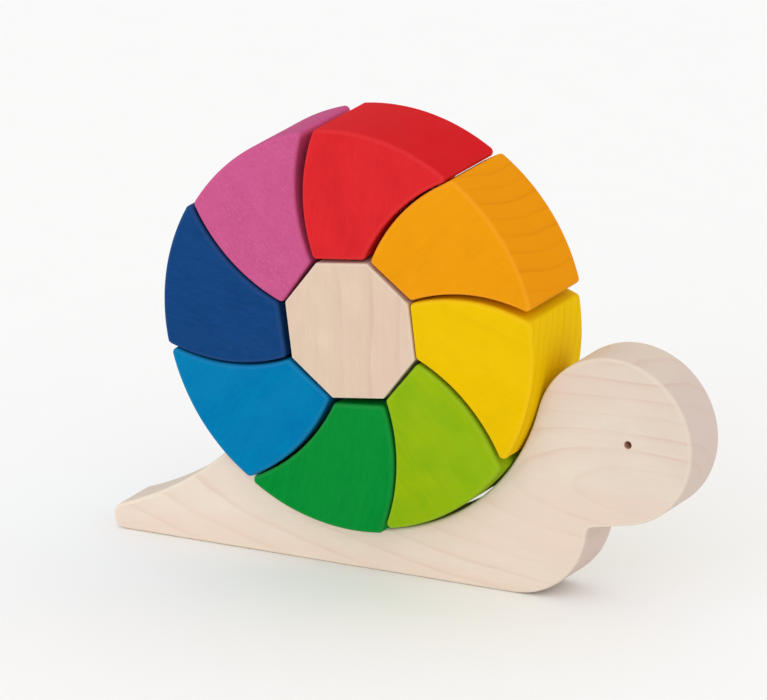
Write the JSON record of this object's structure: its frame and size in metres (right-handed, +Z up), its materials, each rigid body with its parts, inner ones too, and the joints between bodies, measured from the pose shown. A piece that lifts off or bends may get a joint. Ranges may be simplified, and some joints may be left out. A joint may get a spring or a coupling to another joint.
{
  "type": "stacking toy",
  "caption": "Wooden snail whose shell is a ring of stained, arc-sided blocks round an octagonal hub, standing in the hollow back of a flat snail board.",
  "frame": {"origin": "on the surface that the snail stands on, under the middle of its length and thickness", "axes": "+X from tail to head, +Y through the thickness to the back, +Z up"},
  "size_m": [0.248, 0.042, 0.1755],
  "materials": {
    "natural_wood": "fine-sanded, unstained, oiled",
    "red_stain": "satin water stain, grain showing",
    "orange_stain": "satin water stain, grain showing",
    "yellow_stain": "satin water stain, grain showing",
    "lime_stain": "satin water stain, grain showing",
    "green_stain": "satin water stain, grain showing",
    "light_blue_stain": "satin water stain, grain showing",
    "dark_blue_stain": "satin water stain, grain showing",
    "pink_stain": "satin water stain, grain showing"
  },
  "bodies": {
    "snail_board": {"snail_board": "natural_wood"},
    "hub_block": {"hub_block": "natural_wood"},
    "block_red": {"block_red": "red_stain"},
    "block_orange": {"block_orange": "orange_stain"},
    "block_yellow": {"block_yellow": "yellow_stain"},
    "block_lime": {"block_lime": "lime_stain"},
    "block_green": {"block_green": "green_stain"},
    "block_light_blue": {"block_light_blue": "light_blue_stain"},
    "block_dark_blue": {"block_dark_blue": "dark_blue_stain"},
    "block_pink": {"block_pink": "pink_stain"}
  },
  "joints": [
    {"name": "hub_block_pull", "type": "slide", "parent": "snail_board", "child": "hub_block", "axis": [0, -1, 0], "range_m": [-0.05, 0.05]},
    {"name": "block_red_pull", "type": "slide", "parent": "snail_board", "child": "block_red", "axis": [0, -1, 0], "range_m": [-0.05, 0.05]},
    {"name": "block_orange_pull", "type": "slide", "parent": "snail_board", "child": "block_orange", "axis": [0, -1, 0], "range_m": [-0.05, 0.05]},
    {"name": "block_yellow_pull", "type": "slide", "parent": "snail_board", "child": "block_yellow", "axis": [0, -1, 0], "range_m": [-0.05, 0.05]},
    {"name": "block_lime_pull", "type": "slide", "parent": "snail_board", "child": "block_lime", "axis": [0, -1, 0], "range_m": [-0.05, 0.05]},
    {"name": "block_green_pull", "type": "slide", "parent": "snail_board", "child": "block_green", "axis": [0, -1, 0], "range_m": [-0.05, 0.05]},
    {"name": "block_light_blue_pull", "type": "slide", "parent": "snail_board", "child": "block_light_blue", "axis": [0, -1, 0], "range_m": [-0.05, 0.05]},
    {"name": "block_dark_blue_pull", "type": "slide", "parent": "snail_board", "child": "block_dark_blue", "axis": [0, -1, 0], "range_m": [-0.05, 0.05]},
    {"name": "block_pink_pull", "type": "slide", "parent": "snail_board", "child": "block_pink", "axis": [0, -1, 0], "range_m": [-0.05, 0.05]}
  ]
}
